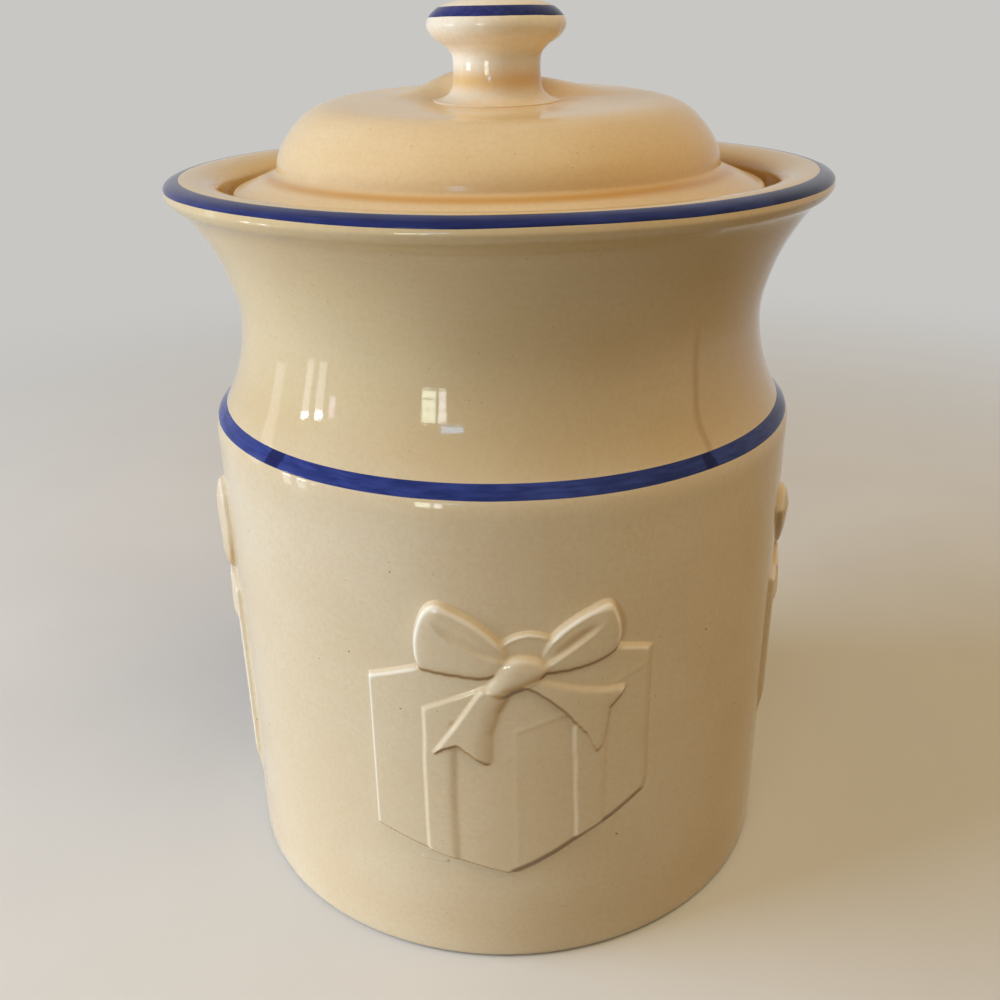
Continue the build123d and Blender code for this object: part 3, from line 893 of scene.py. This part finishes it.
# ---------------------------------------------------------------- the jar and its lid
def make_jar():
    bm = spun(jar_section(), WALL_TURNS, closed=False)
    mark_pools(
        bm,
        (SEAT_RADIUS + 7, LEDGE, 4.5, 0.5),  # on the ledge: pooled glaze, deepened into painted shade in the gap under the lid
        (WALL_RADIUS - WALL - 4, FLOOR_TOP + 4, 9.0, 0.6),  # round the floor inside
        (NECK[0] + 4, SHOULDER_HIGH[1] + 5, 7.0, 0.15),  # above the shoulder's band
    )
    piece_from(bm, "jar_body", "jar", CREAM)
    shoulder = glaze_ring(shoulder_band_line(), WALL_TURNS, 1.0)
    piece_from(shoulder, "shoulder_band", "jar", COBALT_SHOULDER)
    rim = glaze_ring(rim_band_line(), WALL_TURNS, 2.0)
    piece_from(rim, "rim_band", "jar", COBALT_RIM)


def make_presents():
    corner = corner_present()
    relief("gift_relief_front", corner, 0, LOW_EDGE_SHADE)
    relief("gift_relief_back", corner, 180, LOW_EDGE_SHADE)
    tall = standing_present(-40.5, 24.0, 57.0, half_width=30.0, ribbon=5.0, perk=0.16)
    relief("gift_relief_left", tall, -90, SIDE_EDGE_SHADE)
    short = standing_present(-23.5, 24.0, 51.5, half_width=28.0, ribbon=5.0, perk=0.50)
    relief("gift_relief_right", short, 90, SIDE_EDGE_SHADE)


def make_lid():
    bm = spun(lid_section(), WALL_TURNS, closed=False)
    mark_pools(
        bm,
        (DOME_RADIUS + 2.2, JUNCTION - 0.2, 1.5, 0.95),  # round the foot of the dome
        (FLANGE_RADIUS, LEDGE + 1.5, 3.0, 0.4),  # along the edge of the flange: pooled glaze, deepened into painted shade down in the gap
        (DOME_RADIUS - LID_WALL, JUNCTION, 8.0, 0.4),  # round the hollow inside
        (KNOB_FOOT[0], SEAT, 7.0, 0.30),  # round the knob
    )
    slump(bm, JUNCTION + 4, CROWN_EDGE[1] - 1, HEEL)
    piece_from(bm, "lid", "lid", GOLDEN)


def make_knob():
    bm = spun(knob_section(), KNOB_TURNS, closed=False, uneven=KNOB_UNEVEN)
    mark_pools(bm, (KNOB_NECK[0], SEAT + 4.9, 2.2, 0.85), (KNOB_FOOT[0], SEAT, 4.0, 0.40))
    slump(bm, KNOB_NECK[1], SEAT + 1, 0)
    piece_from(bm, "lid_knob", "lid", PALE)
    band = glaze_ring(knob_band_line(), KNOB_TURNS, 3.0, KNOB_UNEVEN)
    piece_from(band, "knob_band", "lid", COBALT_KNOB)


make_jar()
make_presents()
make_lid()
make_knob()


# ---------------------------------------------------------------- studio
BACKGROUND = rgb(200, 199, 196)
ROOM_LIGHT = (1.0, 0.68, 0.34, 1.0)
ROOM_STRENGTH = 0.190
FLOOR = (rgb(226, 226, 227), rgb(222, 222, 223))
FLOOR_GLOW = (rgb(236, 234, 230), rgb(110, 92, 62))  # what it throws back on to the jar, pale and dim
GLOW_ASIDE = (-0.08, 0.05)  # it is pale on the left and dim on the right, between these places
GLOW_REACH = (0.13, 0.30)  # and dim further from the jar than these radii
FLOOR_SIZE = 20.0  # half of its side, in metres
FLOOR_FADE = (0.22, 0.80)  # it fades into the background between these radii, in metres


def make_floor():
    """A pale floor that takes the jar's shadow and runs into the background without an edge."""
    bench = Bench("pale floor")
    tree = bench.tree
    bench.surface.inputs["Roughness"].default_value = 0.8
    far = tree.nodes.new("ShaderNodeEmission")
    far.inputs["Color"].default_value = BACKGROUND
    path = tree.nodes.new("ShaderNodeLightPath").outputs
    seen = bench.maths("MAXIMUM", path["Is Camera Ray"], path["Is Glossy Ray"])
    shade = bench.mix(bench.span(bench.cloud(90, 3), 0.3, 0.7), *FLOOR)
    aside = bench.span(bench.parts(bench.place)[0], *GLOW_ASIDE)
    glow = bench.mix(bench.maths("MAXIMUM", aside, bench.span(bench.round_z(), *GLOW_REACH)), *FLOOR_GLOW)
    bench.link(bench.mix(seen, glow, shade), bench.surface.inputs["Base Color"])
    share = bench.maths("MULTIPLY", bench.span(bench.round_z(), *FLOOR_FADE), seen)
    pick = tree.nodes.new("ShaderNodeMixShader")
    sources = (share, bench.surface.outputs["BSDF"], far.outputs[0])
    for socket, source in enumerate(sources):
        bench.link(source, pick.inputs[socket])
    bench.link(pick.outputs[0], bench.out.inputs["Surface"])

    bm = bmesh.new()
    bmesh.ops.create_grid(bm, x_segments=1, y_segments=1, size=FLOOR_SIZE)
    mesh = bpy.data.meshes.new("floor")
    bm.to_mesh(mesh)
    bm.free()
    mesh.materials.append(bench.material)
    floor = bpy.data.objects.new("floor", mesh)
    bpy.context.scene.collection.objects.link(floor)


def make_world():
    """A dim warm room light, behind a plain pale background."""
    world = bpy.data.worlds.new("studio")
    bpy.context.scene.world = world
    world.use_nodes = True
    tree = world.node_tree
    tree.nodes.clear()
    room = tree.nodes.new("ShaderNodeBackground")
    room.inputs["Color"].default_value = ROOM_LIGHT
    room.inputs["Strength"].default_value = ROOM_STRENGTH
    shown = tree.nodes.new("ShaderNodeBackground")
    shown.inputs["Color"].default_value = BACKGROUND
    path = tree.nodes.new("ShaderNodeLightPath").outputs
    seen = tree.nodes.new("ShaderNodeMath")
    seen.operation = "MAXIMUM"
    tree.links.new(path["Is Camera Ray"], seen.inputs[0])
    tree.links.new(path["Is Glossy Ray"], seen.inputs[1])
    pick = tree.nodes.new("ShaderNodeMixShader")
    tree.links.new(seen.outputs[0], pick.inputs[0])
    tree.links.new(room.outputs[0], pick.inputs[1])
    tree.links.new(shown.outputs[0], pick.inputs[2])
    out = tree.nodes.new("ShaderNodeOutputWorld")
    tree.links.new(pick.outputs[0], out.inputs["Surface"])


LIT = Vector((0, 0, 0.13))  # the lamps point here


def lamp(name, turn, rise, distance, size, power, colour, mirrored):
    """A rectangular lamp, placed by degrees round from the front to the right, degrees up and metres.
    A mirrored lamp shows in the glaze, and the others only light it."""
    turn, rise = math.radians(turn), math.radians(rise)
    way = Vector((math.sin(turn) * math.cos(rise), -math.cos(turn) * math.cos(rise), math.sin(rise)))
    data = bpy.data.lights.new(name, "AREA")
    data.shape = "RECTANGLE"
    data.size, data.size_y = size
    data.energy = power
    data.color = colour
    thing = bpy.data.objects.new(name, data)
    thing.location = LIT + way * distance
    thing.rotation_euler = (-way).to_track_quat("-Z", "Y").to_euler()
    thing.visible_camera = False
    thing.visible_glossy = mirrored
    bpy.context.scene.collection.objects.link(thing)


def make_lights():
    day = (0.94, 0.97, 1.0)
    lamp("daylight from the left", -81, 18, 1.30, (0.8, 1.0), 18.0, (0.69, 0.82, 1.0), False)
    lamp("soft light above", 48, 66, 1.60, (1.2, 1.2), 11.8, (1.0, 0.81, 0.49), False)
    lamp("warm wall on the right", 88, 12, 1.20, (0.5, 0.9), 1.0, (1.0, 0.66, 0.28), False)
    lamp("window behind", -102, 4, 0.90, (0.10, 0.44), 0.14, day, True)
    lamp("curtain", -69.0, 3.5, 0.66, (0.030, 0.07), 0.030, (0.90, 0.72, 1.0), True)
    for turn in (-82.0, -75.0):
        lamp("tall window", turn, -2.5, 0.66, (0.045, 0.20), 0.075, day, True)
        lamp("bright pane of the tall window", turn, 5.8, 0.66, (0.045, 0.030), 0.09, day, True)
    for rise in (-3.4, 1.0, 5.4):
        lamp("window pane", -28.4, rise, 1.30, (0.13, 0.09), 0.40, (0.86, 1.0, 0.80), True)
        lamp("window pane", -22.8, rise, 1.30, (0.07, 0.09), 0.20, day, True)
    lamp("sky in the window", -19.0, 10.0, 1.30, (0.18, 0.05), 0.34, (0.25, 0.60, 1.0), True)


# The camera stands at the height of the knob and looks down at the jar: places in metres, turns in
# radians, and the sensor and the lens in millimetres.
CAMERA_DISTANCE = 0.2991
CAMERA_HEIGHT = 0.2381
CAMERA_DOWN = math.radians(24.24)
CAMERA_ASIDE = 0.0034
CAMERA_ROLL = -0.0165
CAMERA_SENSOR = 36.0
CAMERA_LENS = 38.02


def make_camera():
    data = bpy.data.cameras.new("camera")
    data.sensor_width = CAMERA_SENSOR
    data.lens = CAMERA_LENS
    data.clip_start = 0.01
    camera = bpy.data.objects.new("camera", data)
    turn = Euler((math.pi / 2 - CAMERA_DOWN, 0, CAMERA_ASIDE), "XYZ").to_matrix()
    turn = turn @ Matrix.Rotation(CAMERA_ROLL, 3, "Z")
    camera.matrix_world = Matrix.LocRotScale((0, -CAMERA_DISTANCE, CAMERA_HEIGHT), turn, None)
    bpy.context.scene.collection.objects.link(camera)
    bpy.context.scene.camera = camera


make_floor()
make_world()
make_lights()
make_camera()
bpy.context.scene.view_settings.view_transform = "Standard"
